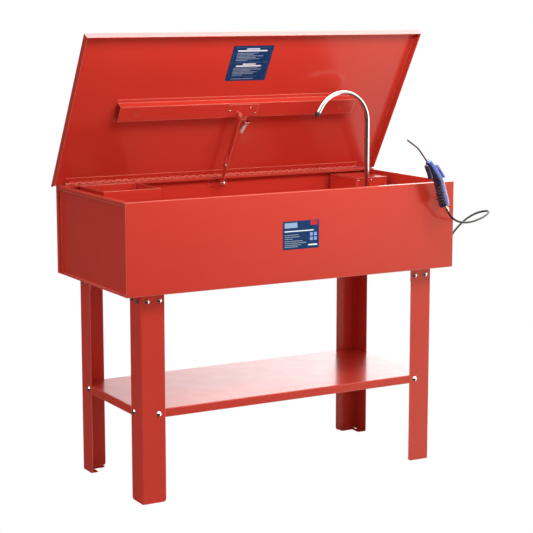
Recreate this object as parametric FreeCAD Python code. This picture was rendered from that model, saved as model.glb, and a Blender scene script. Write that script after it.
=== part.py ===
import FreeCAD, Part
import math
import os

from FreeCAD import Vector

# Free-standing parts washer: an open sheet-metal tank on four angle legs, with a lid on a piano
# hinge, a fold-down spout, a soak tray, a guarded pump, a bottom shelf and a hand-held air gun.
# Millimetres, +Z up, origin on the floor under the middle of the tank. The front faces -Y.

# ---- Driving dimensions -------------------------------------------------------------------
tank_width = 1170.0
tank_depth = 521.0
rim_height = 926.5
tank_bottom = 646.0
tank_sheet = 1.2
end_recess = 15.0
end_lip_drop = 12.0
front_flange = 14.0
rear_flange = 20.0
flange_lip = 8.0
floor_height = 648.0
drain_radius = 12.0

leg_sheet = 2.0
leg_x = 523.5
leg_y = 227.0
leg_face_width = 78.0
leg_side_width = 76.0
foot_length = 25.0
toe_radius = 10.0
bracket_height = 46.0
bolt_radius = 4.0
bolt_clearance = 0.2
bolt_head_radius = 8.5
bolt_head_height = 5.0
top_bolt_height = 623.0
top_bolt_steps = (22.0, 62.0)
shelf_top = 290.0
shelf_drop = 26.5
shelf_sheet = 1.2
shelf_bolt_height = 276.0
shelf_bolt_step = 57.0
shelf_slot_length = 18.0

hinge_y = 259.0
knuckle_radius = 3.5
pin_radius = 1.5
pin_clearance = 0.05
leaf_sheet = 1.2
leaf_width = 20.0
hinge_left = -555.0
hinge_right = 540.0
knuckle_pitch = 27.375
knuckle_gap = 0.3

lid_open_angle = 59.5
lid_half_width = 600.0
lid_length = 554.7
lid_tail = 8.0
lid_depth = 28.0
lid_sheet = 1.2
lid_corner_cut = 22.0
rail_left = -435.0
rail_right = 430.0
rail_near = 245.0
rail_far = 300.0
rail_height = 24.0
rail_foot = 13.0
rail_sheet = 1.2

stay_pivot_reach = 260.0
stay_pivot_drop = 38.0
stay_anchor = Vector(0, 230.0, 905.0)
link_reach = 70.0
stay_sheet = 3.0
stay_pin_radius = 2.5
arm_half_width = 12.0
link_half_width = 9.0
slot_half_width = 6.5
slot_near = 158.0
slot_far = 198.5
arm_end = 214.0
arm_x = -12.0
link_x = -8.6
ear_x = -5.2

tray_left = -515.0
tray_right = -318.0
tray_front = 50.0
tray_back = 238.0
tray_top = 924.0
tray_depth = 120.0
tray_sheet = 1.5

guard_left = 424.0
guard_right = 545.0
guard_front = 70.0
guard_back = 238.0
guard_top = 912.0
guard_sheet = 1.2
guard_screw_xs = (432.0, 482.0)
spout_screw_xs = (430.0, 450.0)
spout_screw_height = 815.0
holder_screw_xs = (518.0, 542.0)
holder_screw_height = 884.0
tray_bracket_xs = (-470.0, -363.0)
supply_height = 836.0
pump_centre = Vector(484.0, 152.0, 0)
outlet_reach = 48.0
outlet_way = Vector(-1, -1, 0).normalize()

spout_base = Vector(440.0, 35.0, 880.0)
spout_radius = 8.0
spout_bore = 6.0
spout_stem_top = 1110.0
spout_arc_radius = 97.0
spout_arc_angle = 148.0
spout_end_run = 22.0
spout_ball_radius = 12.0
ball_clearance = 0.3
spout_fold_heading = 50.0
pivot_pin_radius = 2.0
ear_inner = 12.8
ear_sheet = 2.5

gun_plane = -313.0
gun_half_depth = 14.0
trigger_pivot = Vector(478.0, gun_plane, 984.0)

hose_radius = 3.5
nipple_radius = 5.0
nipple_length = 20.0
inlet_reach = 31.0
hose_points = [
    (524.5, -313, 838), (534, -314, 824), (554, -313, 806.6), (588.6, -310, 795.5), (630.8, -307, 796.6),
    (675, -297, 805), (714, -276, 813.5), (743, -245, 817), (753, -207, 813), (738, -177, 803),
    (707, -163, 783), (675, -160, 756), (653, -161, 733), (631, -163, 713), (606, -163, 707),
]

label_front = (-56.5, 73.0, 748.0, 836.0)
label_lid = (-78.0, 68.0, 371.0, 502.0)
label_sheet = 0.4

rear_inner = tank_depth / 2 - tank_sheet
front_inner = -rear_inner
half_width = tank_width / 2
end_outer = half_width - end_recess
end_inner = end_outer - tank_sheet
hinge_z = rim_height + knuckle_radius
lid_inner = hinge_z + knuckle_radius

rail_face = lid_inner - rail_height
drain_point = Vector(300, 0, floor_height)
spring_top = Vector(23.0, hinge_y - 226.0, rail_face - 9.0)
spring_bottom = Vector(14.0, hinge_y - 192.0, rail_face - 9.0)
gland_point = Vector(500, rear_inner, 700)
inlet_point = Vector(end_outer, hose_points[-1][1], hose_points[-1][2] - 1)

X = Vector(1, 0, 0)
Y = Vector(0, 1, 0)
Z = Vector(0, 0, 1)
ORIGIN = Vector(0, 0, 0)


# ---- Helpers ------------------------------------------------------------------------------
def save(node, shape):
    os.makedirs("parts", exist_ok=True)
    shape.exportStep("parts/" + node + ".step")


def block(x0, x1, y0, y1, z0, z1):
    return Part.makeBox(x1 - x0, y1 - y0, z1 - z0, Vector(x0, y0, z0))


def rod(radius, start, end):
    axis = end - start
    return Part.makeCylinder(radius, axis.Length, start, axis)


def fuse(shapes):
    result = shapes[0]
    if len(shapes) > 1:
        result = result.multiFuse(shapes[1:])
    return result.removeSplitter()


def fuse_loose(shapes):
    """Several separate solids kept as one shape."""
    return Part.makeCompound(shapes)


def plate(points, thickness_vector):
    """Flat plate from a closed outline of 3-D points, pushed along thickness_vector."""
    return Part.Face(Part.makePolygon(points + [points[0]])).extrude(thickness_vector)


def spin_vector(vector, axis, degrees):
    return FreeCAD.Rotation(axis, degrees).multVec(vector)


def spin(shape, centre, axis, degrees):
    turned = shape.copy()
    turned.rotate(centre, axis, degrees)
    return turned


def mirrored(shape, normal):
    return shape.mirror(ORIGIN, normal)


def rounded(shape, radius, edge_test):
    return shape.makeFillet(radius, [edge for edge in shape.Edges if edge_test(edge)])


def straight_along(edge, axis):
    if len(edge.Vertexes) != 2:
        return False
    run = edge.Vertexes[1].Point - edge.Vertexes[0].Point
    return run.Length > 0.1 and abs(abs(run.normalize().dot(axis)) - 1) < 1e-6


def rounded_bar(centre_a, centre_b, half_width_mm, normal, thickness):
    """Flat bar with round ends between two centres; normal is the face direction."""
    along = (centre_b - centre_a).normalize()
    across = normal.cross(along) * half_width_mm
    corners = [centre_a + across, centre_a - across, centre_b - across, centre_b + across]
    body = plate(corners, normal * thickness)
    ends = [Part.makeCylinder(half_width_mm, thickness, centre, normal) for centre in (centre_a, centre_b)]
    return fuse([body] + ends)


def domed_bolt(seat, direction, shank):
    """Domed head standing out of seat along direction, shank going the other way."""
    dome_radius = (bolt_head_radius ** 2 + bolt_head_height ** 2) / (2 * bolt_head_height)
    centre = seat - direction * (dome_radius - bolt_head_height)
    ball = Part.makeSphere(dome_radius, centre)
    head = ball.common(Part.makeCylinder(bolt_head_radius, bolt_head_height + 1, seat, direction))
    return fuse([head, rod(bolt_radius, seat, seat - direction * shank)])


def hex_nut(seat, direction, across_corners, height, bore):
    """Nut whose face sits at seat and which grows along direction."""
    side = Vector(-direction.y, direction.x, 0) if abs(direction.z) < 0.9 else X
    rim = [seat + spin_vector(side, direction, 60 * k) * across_corners for k in range(6)]
    nut = plate(rim, direction * height)
    return nut.cut(rod(bore, seat - direction, seat + direction * (height + 1)))


def small_screw(seat, direction, head_radius=4.0, head_height=2.4, shank=6.0):
    head = Part.makeCylinder(head_radius, head_height, seat, direction)
    head = rounded(head, head_height * 0.6, lambda e: abs((e.BoundBox.Center - seat).dot(direction)
                                                        - head_height) < 0.01)
    return fuse([head, rod(head_radius * 0.45, seat, seat - direction * shank)])


def tangent_path(points, share=0.45):
    """Straight runs joined by tangent arcs; returns the wire, its length and the arc radii."""
    corners = [Vector(*p) for p in points]
    edges = []
    radii = []
    start = corners[0]
    for before, corner, after in zip(corners, corners[1:], corners[2:]):
        reach = share * min((corner - before).Length, (after - corner).Length)
        into = (corner - before).normalize()
        out = (after - corner).normalize()
        first = corner - into * reach
        last = corner + out * reach
        half_turn = into.getAngle(out) / 2
        radius = reach / math.tan(half_turn)
        inward = (out - into).normalize()
        middle = corner + inward * (radius / math.cos(half_turn) - radius)
        edges.append(Part.LineSegment(start, first).toShape())
        edges.append(Part.Arc(first, middle, last).toShape())
        radii.append(radius)
        start = last
    edges.append(Part.LineSegment(start, corners[-1]).toShape())
    wire = Part.Wire(edges)
    return wire, wire.Length, radii


def tube_along(wire, outer, inner=0.0):
    start = wire.Edges[0].Vertexes[0].Point
    heading = wire.Edges[0].tangentAt(wire.Edges[0].FirstParameter)
    rings = [outer] if inner == 0 else [outer, inner]
    pipes = [wire.makePipeShell([Part.Wire(Part.makeCircle(r, start, heading))], True, False) for r in rings]
    return pipes[0] if inner == 0 else pipes[0].cut(pipes[1])


# ---- Tank ---------------------------------------------------------------------------------
def wall_with_top_flange(flange, lip):
    """Rear or front wall: full-height sheet with a rim flange turned inwards and a short lip."""
    outer = tank_depth / 2
    notch = end_inner - 0.2
    wall = block(-half_width, half_width, outer - tank_sheet, outer, tank_bottom, rim_height)
    top = block(-notch, notch, outer - flange, outer, rim_height - tank_sheet, rim_height)
    edge = block(-notch, notch, outer - flange, outer - flange + tank_sheet, rim_height - lip, rim_height)
    wall = fuse([wall, top, edge])

    def on_rim(e):
        box = e.BoundBox
        return straight_along(e, X) and box.ZMin > rim_height - 0.01 and box.XLength > 100
    return rounded(wall, 1.1, on_rim)


def front_panel():
    return mirrored(wall_with_top_flange(front_flange, flange_lip), Y)


def rear_panel():
    panel = wall_with_top_flange(rear_flange, flange_lip)
    gland_hole = rod(10.2, gland_point - Y * 10, gland_point + Y * 10)
    bracket_holes = [rod(2.2, p - Y * 5, p + Y * 5) for p in stay_screw_points()]
    tray_holes = [rod(2.2, p - Y * 5, p + Y * 5) for p in tray_screw_points()]
    return panel.cut(fuse_loose([gland_hole] + bracket_holes + tray_holes))


def end_panel():
    """Right end: recessed wall, with flanges turned outwards on all four sides and a rim lip."""
    wall = block(end_inner, end_outer, front_inner, rear_inner, tank_bottom, rim_height)
    rim = block(end_inner, half_width, front_inner, rear_inner, rim_height - tank_sheet, rim_height)
    lip = block(half_width - tank_sheet, half_width, front_inner, rear_inner,
                rim_height - end_lip_drop, rim_height)
    foot = block(end_inner, half_width - 2, front_inner, rear_inner, tank_bottom, tank_bottom + tank_sheet)
    tabs = []
    for side in (-1, 1):
        low, high = sorted((side * rear_inner, side * (rear_inner - tank_sheet)))
        tabs.append(block(end_inner, half_width - 3, low, high, tank_bottom, rim_height))
    panel = fuse([wall, rim, lip, foot] + tabs)

    def outer_rim(e):
        box = e.BoundBox
        return straight_along(e, Y) and box.ZMin > rim_height - 0.01 and box.XMin > half_width - 0.01
    return rounded(panel, 1.1, outer_rim)


def right_end_panel():
    return end_panel().cut(rod(7.2, inlet_point - X * 5, inlet_point + X * 5))


def tank_floor():
    sheet = block(-end_inner, end_inner, front_inner, rear_inner, floor_height, floor_height + tank_sheet)
    return sheet.cut(rod(drain_radius, drain_point - Z * 5, drain_point + Z * 5))


def drain_boss():
    low = drain_point - Z * 16
    flange = Part.makeCylinder(20, 3, drain_point - Z * 3)
    neck = rod(drain_radius - 0.1, drain_point - Z * 3, drain_point + Z * tank_sheet)
    barrel = rod(15, low, drain_point - Z * 3)
    bore = rod(8.2, low - Z, drain_point + Z * 5)
    return fuse([flange, neck, barrel]).cut(bore)


def drain_plug():
    low = drain_point - Z * 16
    head = plate([low + spin_vector(X, Z, 60 * k) * 12.0 for k in range(6)], -Z * 8.0)
    stem = rod(8.15, low, low + Z * 14)
    return fuse([head, stem])


# ---- Legs, corner brackets, shelf and their bolts --------------------------------------------
def leg_corners():
    return [(sx, sy) for sx in (-1, 1) for sy in (-1, 1)]


def placed_in_corner(shape, sx, sy):
    """Shapes are drawn for the +X +Y corner and mirrored to the others."""
    result = shape
    if sx < 0:
        result = mirrored(result, X)
    if sy < 0:
        result = mirrored(result, Y)
    return result


def corner_bolt_points():
    """Seats of the top bolts of the +X +Y corner: point on the leg's outer face and direction."""
    seats = []
    for step in top_bolt_steps:
        seats.append((Vector(leg_x - step, leg_y, top_bolt_height), Y))
        seats.append((Vector(leg_x, leg_y - step, top_bolt_height), X))
    return seats


def shelf_bolt_points():
    return [
        (Vector(leg_x - shelf_bolt_step, leg_y, shelf_bolt_height), Y),
        (Vector(leg_x, leg_y - shelf_bolt_step, shelf_bolt_height), X),
    ]


def bolt_hole(seat, direction):
    return rod(bolt_radius + bolt_clearance, seat - direction * 12, seat + direction * 12)


def slot_hole(seat, direction):
    along = Z.cross(direction)
    reach = shelf_slot_length / 2 - bolt_radius - bolt_clearance
    start = seat - direction * 12
    half_slot = bolt_radius + bolt_clearance
    return rounded_bar(start - along * reach, start + along * reach, half_slot, direction, 24)


def leg():
    outer = block(leg_x - leg_face_width, leg_x, leg_y - leg_side_width, leg_y, 0, floor_height)
    outer = rounded(outer, 4.0, lambda e: straight_along(e, Z) and e.BoundBox.XMin > leg_x - 1
                    and e.BoundBox.YMin > leg_y - 1)
    inner = block(leg_x - leg_face_width - 1, leg_x - leg_sheet,
                  leg_y - leg_side_width - 1, leg_y - leg_sheet, -1, floor_height + 1)
    inner = rounded(inner, 2.0, lambda e: straight_along(e, Z) and e.BoundBox.XMin > leg_x - leg_sheet - 1
                    and e.BoundBox.YMin > leg_y - leg_sheet - 1)
    angle = outer.cut(inner)
    relief = 8.0
    foot_face = block(leg_x - leg_face_width + toe_radius + 1, leg_x - relief,
                      leg_y - foot_length, leg_y - leg_sheet, 0, leg_sheet)
    foot_side = block(leg_x - foot_length, leg_x - leg_sheet,
                      leg_y - leg_side_width + toe_radius + 1, leg_y - foot_length - 3, 0, leg_sheet)
    free_y = leg_y - foot_length + 1
    free_x = leg_x - foot_length + 1
    foot_face = rounded(foot_face, 6.0, lambda e: straight_along(e, Z) and e.BoundBox.YMax < free_y)
    foot_side = rounded(foot_side, 6.0, lambda e: straight_along(e, Z) and e.BoundBox.XMax < free_x)
    holes = [bolt_hole(*seat) for seat in corner_bolt_points()]
    slots = [slot_hole(*seat) for seat in shelf_bolt_points()]
    return fuse([rounded_toes(angle), foot_face, foot_side]).cut(fuse_loose(holes + slots))


def rounded_toes(angle):
    """Rounds the free lower corner of both faces of the leg."""
    def toe(e):
        box = e.BoundBox
        low = box.ZMax < 0.01
        free_x = straight_along(e, Y) and box.XMax < leg_x - leg_face_width + 0.01
        free_y = straight_along(e, X) and box.YMax < leg_y - leg_side_width + 0.01
        return low and (free_x or free_y)
    return rounded(angle, toe_radius, toe)


def corner_bracket():
    x1 = leg_x - leg_sheet
    y1 = leg_y - leg_sheet
    x0 = leg_x - leg_face_width
    y0 = leg_y - leg_side_width
    z0 = floor_height - bracket_height
    outer = block(x0, x1, y0, y1, z0, floor_height)
    outer = rounded(outer, 2.0, lambda e: straight_along(e, Z) and e.BoundBox.XMin > x1 - 1
                    and e.BoundBox.YMin > y1 - 1)
    hollow = block(x0 - 1, x1 - leg_sheet, y0 - 1, y1 - leg_sheet, z0 - 1, floor_height - leg_sheet)
    holes = [bolt_hole(*seat) for seat in corner_bolt_points()]
    return outer.cut(hollow).cut(fuse_loose(holes))


def shelf():
    x1 = leg_x - leg_sheet
    y1 = leg_y - leg_sheet
    low = shelf_top - shelf_drop
    outer = block(-x1, x1, -y1, y1, low, shelf_top)
    outer = rounded(outer, 3.0, lambda e: e.BoundBox.ZMin > shelf_top - 0.01 or straight_along(e, Z))
    inner = block(-x1 + shelf_sheet, x1 - shelf_sheet, -y1 + shelf_sheet, y1 - shelf_sheet,
                  low - 1, shelf_top - shelf_sheet)
    inner = rounded(inner, 3.0 - shelf_sheet,
                    lambda e: e.BoundBox.ZMin > shelf_top - shelf_sheet - 0.01 or straight_along(e, Z))
    holes = []
    for sx, sy in leg_corners():
        for seat in shelf_bolt_points():
            holes.append(placed_in_corner(bolt_hole(*seat), sx, sy))
    return outer.cut(inner).cut(fuse_loose(holes))


def bolt_set(seats, shank):
    bolts = []
    for sx, sy in leg_corners():
        bolts += [placed_in_corner(domed_bolt(seat, way, shank), sx, sy) for seat, way in seats]
    return fuse_loose(bolts)


def nut_set(seats, grip):
    nuts = []
    for sx, sy in leg_corners():
        for seat, way in seats:
            nut = hex_nut(seat - way * grip, -way, 7.5, 6.0, bolt_radius + 0.05)
            nuts.append(placed_in_corner(nut, sx, sy))
    return fuse_loose(nuts)


# ---- Lid, its rail and the piano hinge ----------------------------------------------------------
def opened(shape):
    """Lid pieces are drawn lying level on the tank and then swung up about the hinge."""
    return spin(shape, Vector(0, hinge_y, hinge_z), X, -lid_open_angle)


def lid_y(reach):
    return hinge_y - reach


def lid_panel():
    top = lid_inner + lid_sheet
    low = top - lid_depth
    front = lid_y(lid_length)
    back = hinge_y + lid_tail
    outer = block(-lid_half_width, lid_half_width, front, back, low, top)

    def outer_bend(e):
        box = e.BoundBox
        return box.ZMin > top - 0.01 and box.YMin < back - 0.01
    outer = rounded(outer, 2.4, outer_bend)
    inner = block(-lid_half_width + lid_sheet, lid_half_width - lid_sheet, front + lid_sheet, back + 1,
                  low - 1, top - lid_sheet)
    lid = outer.cut(inner)
    cut_x = lid_half_width + 1
    wedge = plate([Vector(-cut_x, back + 1, low - 1), Vector(-cut_x, back - lid_corner_cut, low - 1),
                   Vector(-cut_x, back + 1, low + lid_corner_cut)], X * 2 * cut_x)
    return opened(lid.cut(wedge))


def lid_rail():
    high = lid_inner
    low = high - rail_height
    y_near = lid_y(rail_near)
    y_far = lid_y(rail_far)
    t = rail_sheet
    outline = [
        Vector(rail_left, y_near + rail_foot, high), Vector(rail_left, y_near + rail_foot, high - t),
        Vector(rail_left, y_near, high - t), Vector(rail_left, y_near, low),
        Vector(rail_left, y_far, low), Vector(rail_left, y_far, high - t),
        Vector(rail_left, y_far - rail_foot, high - t), Vector(rail_left, y_far - rail_foot, high),
        Vector(rail_left, y_far + t, high), Vector(rail_left, y_far + t, low + t),
        Vector(rail_left, y_near - t, low + t), Vector(rail_left, y_near - t, high),
    ]
    rail = plate(outline, X * (rail_right - rail_left))
    middle = (y_near + y_far) / 2
    holes = [rod(3.5, Vector(x, middle, low - 5), Vector(x, middle, low + 5)) for x in (-375, 375)]
    holes += [rod(2.0, p - Z * 5, p + Z * 5) for p in rail_face_points()]
    return opened(rail.cut(fuse_loose(holes)))


def knuckle_ring(x0, x1):
    return rod(knuckle_radius, Vector(x0, hinge_y, hinge_z), Vector(x1, hinge_y, hinge_z))


def hinge_leaf(offset, z0, z1):
    """One leaf: a strip and every second knuckle, drilled for the pin."""
    strip = block(hinge_left, hinge_right, hinge_y - leaf_width, hinge_y - knuckle_radius - 0.6, z0, z1)
    pieces = [strip]
    half = knuckle_pitch / 2
    count = int((hinge_right - hinge_left) / knuckle_pitch + 0.5)
    for k in range(count):
        x0 = hinge_left + k * knuckle_pitch + offset * half + knuckle_gap / 2
        x1 = x0 + half - knuckle_gap
        pieces.append(knuckle_ring(x0, x1))
        pieces.append(block(x0, x1, hinge_y - knuckle_radius - 0.6, hinge_y, z0, z1))
    leaf = fuse(pieces)
    bore = rod(pin_radius + pin_clearance, Vector(hinge_left - 5, hinge_y, hinge_z),
               Vector(hinge_right + 5, hinge_y, hinge_z))
    return leaf.cut(bore)


def tank_leaf():
    return hinge_leaf(0, rim_height, rim_height + leaf_sheet)


def lid_leaf():
    return opened(hinge_leaf(1, lid_inner - leaf_sheet, lid_inner))


def hinge_pin():
    start = Vector(hinge_left - 2, hinge_y, hinge_z)
    return rod(pin_radius, start, Vector(hinge_right + 2, hinge_y, hinge_z))


# ---- Lid stay: slotted arm on the lid, link on the tank, a pin in the slot --------------------------
def stay_pivot():
    level = Vector(0, lid_y(stay_pivot_reach), lid_inner - stay_pivot_drop)
    arm = level - Vector(0, hinge_y, hinge_z)
    return Vector(0, hinge_y, hinge_z) + spin_vector(arm, X, -lid_open_angle)


stay_line = (stay_anchor - stay_pivot()).normalize()


def at_x(point, x):
    return Vector(x, point.y, point.z)


def stay_arm():
    pivot = stay_pivot()
    start = at_x(pivot, arm_x)
    end = at_x(pivot + stay_line * (arm_end - arm_half_width), arm_x)
    arm = rounded_bar(start, end, arm_half_width, X, stay_sheet)
    slot_start = at_x(pivot + stay_line * slot_near, arm_x - 1)
    slot_end = at_x(pivot + stay_line * slot_far, arm_x - 1)
    slot = rounded_bar(slot_start, slot_end, slot_half_width, X, stay_sheet + 2)
    hole = rod(stay_pin_radius + 0.08, at_x(pivot, arm_x - 5), at_x(pivot, arm_x + 10))
    return arm.cut(fuse_loose([slot, hole]))


def stay_arm_pivot_pin():
    pivot = stay_pivot()
    shank = rod(stay_pin_radius, at_x(pivot, arm_x - 4.2), at_x(pivot, arm_x + stay_sheet + 0.3))
    head = rod(6.0, at_x(pivot, arm_x + stay_sheet + 0.3), at_x(pivot, arm_x + stay_sheet + 3.3))
    return fuse([shank, head])


def link_pin_point():
    return stay_anchor - stay_line * link_reach


def stay_link():
    bar = rounded_bar(at_x(link_pin_point(), link_x), at_x(stay_anchor, link_x), link_half_width,
                      X, stay_sheet)
    hole = rod(stay_pin_radius + 0.08, at_x(stay_anchor, link_x - 2), at_x(stay_anchor, link_x + 8))
    pin_hole = rod(stay_pin_radius, at_x(link_pin_point(), link_x - 2), at_x(link_pin_point(), link_x + 8))
    return bar.cut(fuse_loose([hole, pin_hole]))


def stay_slot_pin():
    """Headed pin riveted into the link, which rides in the arm's slot."""
    point = link_pin_point()
    shank = rod(stay_pin_radius, at_x(point, arm_x - 0.6), at_x(point, link_x + stay_sheet))
    head = rod(9.0, at_x(point, arm_x - 3.0), at_x(point, arm_x - 0.6))
    return fuse([shank, head])


def stay_anchor_bolt():
    head = rod(6.5, at_x(stay_anchor, link_x - 4.5), at_x(stay_anchor, link_x - 0.3))
    shank = rod(stay_pin_radius, at_x(stay_anchor, link_x - 0.3), at_x(stay_anchor, ear_x + 9))
    return fuse([head, shank])


def stay_anchor_nut():
    return hex_nut(at_x(stay_anchor, ear_x + 3.0), X, 5.5, 4.5, stay_pin_radius + 0.03)


def stay_screw_points():
    return [Vector(x, rear_inner, 906.0) for x in (-32.0, 18.0)]


def stay_lower_bracket():
    back = block(-40, 26, rear_inner - 2, rear_inner, 892, 917)
    ear = block(ear_x, ear_x + 3.0, 222, rear_inner, 895, 915)
    ear = rounded(ear, 7.0, lambda e: straight_along(e, X) and e.BoundBox.YMax < 223)
    hole = rod(stay_pin_radius + 0.03, at_x(stay_anchor, ear_x - 5), at_x(stay_anchor, ear_x + 8))
    screw_holes = [rod(2.2, p - Y * 5, p + Y * 5) for p in stay_screw_points()]
    return fuse([back, ear]).cut(fuse_loose([hole] + screw_holes))


def stay_lower_screws():
    return fuse_loose([small_screw(p - Y * 2, -Y, 3.5, 2.0, 5.0) for p in stay_screw_points()])


def rail_face_points():
    """Screw seats on the stay's upper bracket, in the level position of the lid."""
    z = rail_face - 1.5
    return [Vector(-44, lid_y(272), z), Vector(30, lid_y(282), z), Vector(50, lid_y(262), z)]


def stay_upper_bracket():
    """Plate on the rail with an ear for the arm's pivot and a tongue for the spring."""
    z1 = rail_face
    z0 = z1 - 1.5
    base = block(-52, 58, lid_y(296), lid_y(249), z0, z1)
    pivot_y = lid_y(stay_pivot_reach)
    pivot_z = lid_inner - stay_pivot_drop
    ear_low = block(arm_x - 3.7, arm_x - 0.7, pivot_y - 10, pivot_y + 10, pivot_z, z1)
    ear_tip = Part.makeCylinder(10, 3.0, Vector(arm_x - 3.7, pivot_y, pivot_z), X)
    hole = rod(stay_pin_radius, Vector(arm_x - 6, pivot_y, pivot_z), Vector(arm_x + 3, pivot_y, pivot_z))
    tongue = plate([Vector(-1, lid_y(252), z0), Vector(19, lid_y(252), z0),
                    Vector(34, lid_y(227), z0), Vector(13, lid_y(227), z0)], Z * 1.5)
    tongue_hole = rod(4.0, Vector(15, lid_y(241), z0 - 5), Vector(15, lid_y(241), z0 + 5))
    screws = [rod(2.2, p - Z * 5, p + Z * 5) for p in rail_face_points()]
    bracket = fuse([base, ear_low, ear_tip, tongue])
    return opened(bracket.cut(fuse_loose([hole, tongue_hole] + screws)))


def stay_upper_screws():
    return opened(fuse_loose([small_screw(p, -Z, 3.8, 2.2, 2.6) for p in rail_face_points()]))


def stay_spring():
    axis = (spring_bottom - spring_top).normalize()
    sleeve = rod(7.5, spring_top, spring_bottom)
    bore = rod(5.5, spring_top - axis, spring_bottom + axis)
    return opened(sleeve.cut(bore))


def spring_holder():
    """Clamp block under the tongue, with a short peg that the spring is pushed on."""
    axis = (spring_bottom - spring_top).normalize()
    z1 = rail_face - 1.5
    body = block(14, 32, lid_y(235), lid_y(228), z1 - 15, z1)
    peg = rod(5.3, spring_top - axis * 6, spring_top + axis * 10)
    return opened(fuse([body, peg]))


# ---- Soak tray and its brackets -------------------------------------------------------------------
def soak_tray():
    low = tray_top - tray_depth
    outer = block(tray_left, tray_right, tray_front, tray_back, low, tray_top)
    outer = rounded(outer, 3.0, lambda e: not (e.BoundBox.ZMin > tray_top - 0.01))
    t = tray_sheet
    inner = block(tray_left + t, tray_right - t, tray_front + t, tray_back - t, low + t, tray_top + 1)
    inner = rounded(inner, 1.5, lambda e: not (e.BoundBox.ZMin > tray_top))
    drain = rod(6, Vector(-340, 72, low - 5), Vector(-340, 72, low + 5))
    return outer.cut(inner).cut(drain)


def tray_screw_points():
    low = tray_top - tray_depth
    return [Vector(x, rear_inner, low - drop) for x in tray_bracket_xs for drop in (20.0, 70.0)]


def tray_brackets():
    low = tray_top - tray_depth
    brackets = []
    for x in tray_bracket_xs:
        back = block(x - 12, x + 12, rear_inner - 2, rear_inner, low - 85, low)
        shelf_strip = block(x - 12, x + 12, tray_front + 10, rear_inner, low - 2, low)
        gusset = plate([Vector(x - 1, rear_inner, low), Vector(x - 1, tray_front + 12, low),
                        Vector(x - 1, tray_front + 12, low - 8), Vector(x - 1, rear_inner - 2, low - 85),
                        Vector(x - 1, rear_inner, low - 85)], X * 2)
        holes = [rod(2.2, p - Y * 5, p + Y * 5) for p in tray_screw_points()]
        bracket = fuse([back, shelf_strip, gusset])
        brackets.append(bracket.cut(fuse_loose(holes)))
    return fuse_loose(brackets)


def tray_screws():
    return fuse_loose([small_screw(p + Y * tank_sheet, Y, 3.5, 2.0, 6.0) for p in tray_screw_points()])


# ---- Pump, guard and spout ------------------------------------------------------------------------
def guard_screw_points():
    return [Vector(x, guard_front, guard_top - 8) for x in guard_screw_xs]


def pump_guard():
    floor = floor_height + tank_sheet
    g = guard_sheet
    left = block(guard_left, guard_left + g, guard_front, guard_back, floor, guard_top)
    right = block(guard_right - g, guard_right, guard_front, guard_back, floor, guard_top)
    front = block(guard_left, guard_right, guard_front, guard_front + g, floor, guard_top)
    walls = fuse([left, right, front])
    slots = []
    for k in range(6):
        x = guard_left + 18 + k * 16
        slots.append(block(x, x + 6, guard_front - 5, guard_front + 5, floor + 12, floor + 62))
    slots += [rod(2.0, p - Y * 5, p + Y * 5) for p in guard_screw_points()]
    pipe_hole = Vector(spout_base.x, guard_front, supply_height)
    slots.append(rod(8.0, pipe_hole - Y * 5, pipe_hole + Y * 5))
    slots += [rod(2.2, p - Y * 5, p + Y * 5) for p in spout_screw_points()]
    return walls.cut(fuse_loose(slots))


def pump_cover():
    top = block(guard_left - 2, guard_right + 2, guard_front - 2, guard_back, guard_top, guard_top + 2)
    top = rounded(top, 1.2, lambda e: e.BoundBox.ZMin > guard_top + 1.9)
    tab = block(guard_left + guard_sheet, guard_right - guard_sheet,
                guard_front + guard_sheet, guard_front + 2 * guard_sheet, guard_top - 18, guard_top)
    holes = [rod(1.6, p - Y * 5, p + Y * 8) for p in guard_screw_points()]
    return fuse([top, tab]).cut(fuse_loose(holes))


def cover_screws():
    return fuse_loose([small_screw(p, -Y, 3.5, 2.2, 6.0) for p in guard_screw_points()])


def pump_height(step):
    return floor_height + tank_sheet + step


def at_height(step):
    """Point on the pump's axis, step above the tank floor."""
    return Vector(pump_centre.x, pump_centre.y, pump_height(step))


def outlet_point():
    return at_height(40) + outlet_way * outlet_reach


def pump_base():
    plate_body = Part.makeCylinder(46, 5, at_height(14))
    legs = []
    for k in range(4):
        foot = at_height(0) + spin_vector(X * 38, Z, 45 + 90 * k)
        legs.append(Part.makeCylinder(5, 14, foot))
    inlet = rod(14, at_height(10), at_height(25))
    return fuse([plate_body] + legs).cut(inlet)


def pump_strainer():
    ring = Part.makeCylinder(30, 12, at_height(2)).cut(Part.makeCylinder(28.5, 10.5, at_height(3.5)))
    windows = []
    for k in range(12):
        way = spin_vector(X, Z, 30 * k)
        windows.append(rod(3, at_height(8) + way * 25, at_height(8) + way * 35))
    return ring.cut(fuse_loose(windows))


def pump_housing():
    shell = Part.makeCylinder(40, 46, at_height(19))
    cavity = Part.makeCylinder(33, 34, at_height(18.9))
    seat = rod(4.05, at_height(50), at_height(70))
    boss = rod(9, at_height(40) + outlet_way * 30, outlet_point())
    outlet = rod(5, at_height(40) + outlet_way * 20, outlet_point() + outlet_way * 12)
    return fuse([shell, boss]).cut(fuse_loose([cavity, seat, outlet]))


def pump_impeller():
    hub = rod(9, at_height(24), at_height(46))
    disc = rod(30, at_height(44), at_height(47))
    blades = []
    for k in range(6):
        blade = block(pump_centre.x + 7, pump_centre.x + 29.5, pump_centre.y - 1, pump_centre.y + 1,
                      pump_height(27), pump_height(45))
        blades.append(spin(blade, at_height(0), Z, 60 * k))
    shaft = rod(4.0, at_height(44), at_height(96))
    return fuse([hub, disc, shaft] + blades)


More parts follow.
